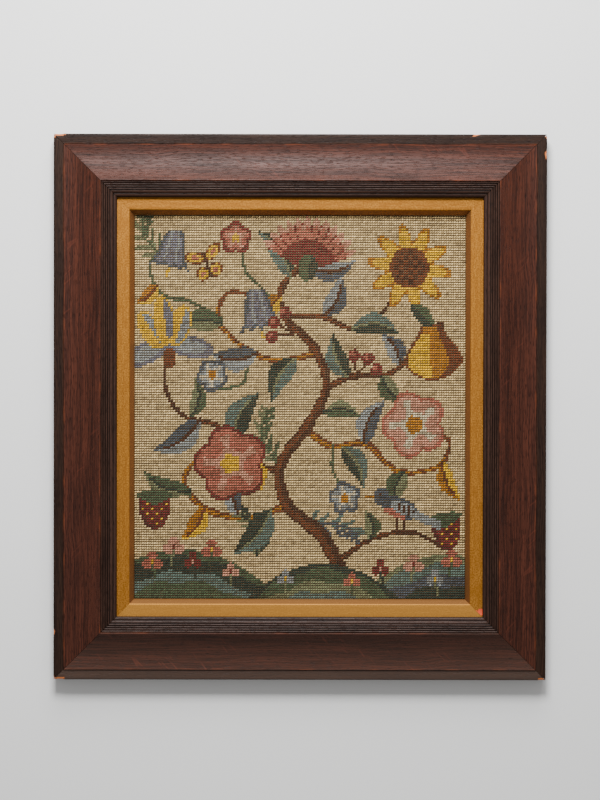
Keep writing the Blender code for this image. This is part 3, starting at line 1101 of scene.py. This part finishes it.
def joined_stitches(name, chosen, places, form, material):
    """One mesh of all the chosen stitches."""
    points, triangles = form
    across, up, turn, size, tone = (values[chosen] for values in places)
    x, y, z = np.moveaxis(points[None, :, :] * size[:, None, None], 2, 0)
    cosine = np.cos(turn)[:, None]
    sine = np.sin(turn)[:, None]
    turned = np.stack([x * cosine - y * sine, x * sine + y * cosine, z], axis=2)
    turned += np.stack([across, up, np.full(len(across), STITCH_MIDDLE)], axis=1)[:, None, :]
    corners = triangles[None, :, :] + (np.arange(len(across)) * len(points))[:, None, None]
    mesh = bpy.data.meshes.new(name)
    mesh.from_pydata(turned.reshape(-1, 3), (), corners.reshape(-1, 3))
    mesh.attributes.new("tone", "FLOAT", "POINT").data.foreach_set("value", np.repeat(tone, len(points)))
    flat_map(mesh)
    return make_piece(name, mesh, material, smooth_below=180.0)


def flat_map(mesh):
    """A map of the stitches seen from above, with what faces down gathered in one corner."""
    places = np.empty(len(mesh.vertices) * 3)
    mesh.vertices.foreach_get("co", places)
    places = places.reshape(-1, 3)[:, :2]
    shares = (places - places.min(axis=0)) / np.ptp(places, axis=0)
    spots = MAP_LOW + (MAP_HIGH - MAP_LOW) * shares
    vertex = np.empty(len(mesh.loops), dtype=int)
    mesh.loops.foreach_get("vertex_index", vertex)
    normals = np.empty(len(mesh.polygons) * 3)
    mesh.polygons.foreach_get("normal", normals)
    down = np.repeat(normals[2::3] < MAP_FACING_DOWN, 3)
    spots = spots[vertex]
    spots[down] *= MAP_CORNER
    mesh.uv_layers.new(name="OFBake").uv.foreach_set("vector", spots.ravel())


def canvas_sheet():
    """The canvas under the stitches, one thin sheet of its flat size."""
    low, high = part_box("needlepoint")
    form = bmesh.new()
    bmesh.ops.create_grid(form, x_segments=CANVAS_SEGMENTS, y_segments=CANVAS_SEGMENTS, size=0.5)
    width = high.x - low.x
    length = high.y - low.y
    bmesh.ops.scale(form, verts=form.verts, vec=(width, length, 1.0))
    bmesh.ops.translate(form, verts=form.verts, vec=(0.0, 0.0, low.z))
    bmesh.ops.solidify(form, geom=form.faces, thickness=-CANVAS_THICKNESS)
    bmesh.ops.recalc_face_normals(form, faces=form.faces)
    mesh = finished_mesh("canvas", form)
    return make_piece("canvas", mesh, canvas_material()), (width, length)


def needlework():
    """The canvas with every stitch on it, one piece for each yarn and three for the ground."""
    canvas, flat = canvas_sheet()
    chart = draw_chart().ravel()
    places = stitch_places(np.random.default_rng(SPREAD_SEED))
    form = stitch_form()
    group = wool_group()
    band = np.arange(ROWS * COLUMNS) * 3 // (ROWS * COLUMNS)
    for yarn, number in YARN_NUMBERS.items():
        material = wool_material(yarn, group)
        chosen = chart == number
        if yarn != "ground":
            joined_stitches(f"stitches_{yarn}", chosen, places, form, material)
            continue
        for part, label in enumerate(("low", "middle", "high")):
            name = f"stitches_{yarn}_{label}"
            joined_stitches(name, chosen & (band == part), places, form, material)
    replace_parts(canvas, "needlepoint")


# Floor, light and camera

FLOOR_SIZE = 12.0
CAMERA_PLACE = (-0.0064, -0.0111, 2.0175)
CAMERA_TURN = (-0.601, 0.028, 0.110)
CAMERA_LENS = 85.32
CAMERA_SHIFT = (0.0089, 0.0471)
SURROUND_STRENGTH = 0.36
KEY_PLACE = (-0.08, 1.0, 1.0)
KEY_SIZE = (0.5, 0.42)
KEY_POWER = 35.0
LOW_PLACE = (0.1, 2.2, 0.9)
LOW_SIZE = (1.6, 0.8)
LOW_POWER = 44.0


def floor():
    """A plain pale floor under the frame's back."""
    form = bmesh.new()
    bmesh.ops.create_grid(form, x_segments=1, y_segments=1, size=FLOOR_SIZE / 2.0)
    made = new_object("floor", finished_mesh("floor", form))
    constants = {"Base Color": (0.92, 0.92, 0.91, 1.0), "Roughness": 0.95, "Specular IOR Level": 0.0}
    made.data.materials.append(new_material("pale_floor", constants)[0])


def soft_box(name, place, width, length, power):
    """A large soft light aimed at the middle of the picture."""
    made = bpy.data.lights.new(name, "AREA")
    made.shape = "RECTANGLE"
    made.size = width
    made.size_y = length
    made.energy = power
    lamp = new_object(name, made)
    lamp.location = place
    lamp.rotation_euler = Vector(place).to_track_quat("Z", "Y").to_euler()


def light():
    """A key light beyond the picture's top, a lower one behind it, and an even surround."""
    world = bpy.data.worlds.new("studio")
    world.use_nodes = True
    background = world.node_tree.nodes["Background"]
    background.inputs["Color"].default_value = (1.0, 1.0, 1.0, 1.0)
    background.inputs["Strength"].default_value = SURROUND_STRENGTH
    bpy.context.scene.world = world
    soft_box("key", KEY_PLACE, *KEY_SIZE, KEY_POWER)
    soft_box("low", LOW_PLACE, *LOW_SIZE, LOW_POWER)


def camera():
    """Looks almost straight down at the face, as the photograph does."""
    made = bpy.data.cameras.new("camera")
    made.sensor_fit = "VERTICAL"
    made.sensor_height = 36.0
    made.lens = CAMERA_LENS
    made.shift_x, made.shift_y = CAMERA_SHIFT
    made.clip_end = 50.0
    view = new_object("camera", made)
    view.location = CAMERA_PLACE
    view.rotation_euler = Euler([math.radians(turn) for turn in CAMERA_TURN], "ZYX")
    view.rotation_mode = "ZYX"
    bpy.context.scene.camera = view


def main():
    camera()
    light()
    floor()
    grain = wood_grain_group()
    four_sides("rail", rail_profile(), RAIL_MITRE_CUT, oak_material(grain))
    four_sides("slip", slip_profile(), SLIP_MITRE_CUT, gilt_material())
    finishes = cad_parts["backing_board"].data.materials
    finishes.clear()
    finishes.append(board_material(grain))
    needlework()


main()
